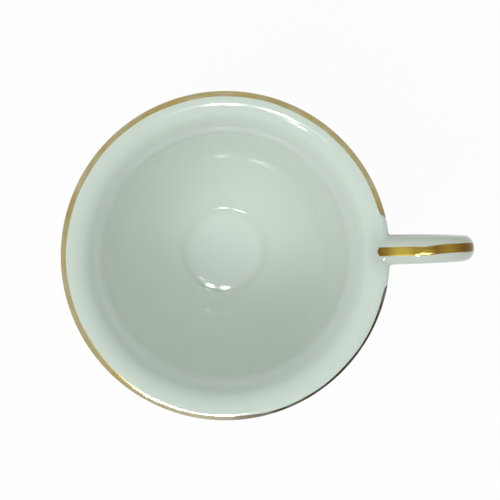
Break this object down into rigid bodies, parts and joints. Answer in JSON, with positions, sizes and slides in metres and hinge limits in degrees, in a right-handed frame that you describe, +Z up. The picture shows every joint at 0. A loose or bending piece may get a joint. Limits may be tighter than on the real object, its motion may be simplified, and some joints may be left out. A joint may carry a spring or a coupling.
{
  "type": "espresso cup",
  "caption": "Small glazed porcelain cup with an everted gold-lined lip, a luted foot ring and a loop handle that grows out of the lip, with a gold stripe along its back.",
  "frame": {"origin": "middle of the footprint of the whole cup, handle included, on the surface that the foot ring stands on", "axes": "+Z up along the cup's axis, +X from the cup towards the handle"},
  "size_m": [0.0836, 0.0662, 0.0583],
  "materials": {
    "glazed_porcelain": "gloss",
    "foot_porcelain": "gloss",
    "burnished_gold": "polished"
  },
  "bodies": {
    "root": {"bowl": "glazed_porcelain", "foot_ring": "foot_porcelain", "foot_slip": "glazed_porcelain", "handle": "glazed_porcelain", "handle_upper_slip": "glazed_porcelain", "handle_lower_slip": "glazed_porcelain", "rim_gilding": "burnished_gold", "handle_gilding": "burnished_gold"}
  },
  "joints": []
}
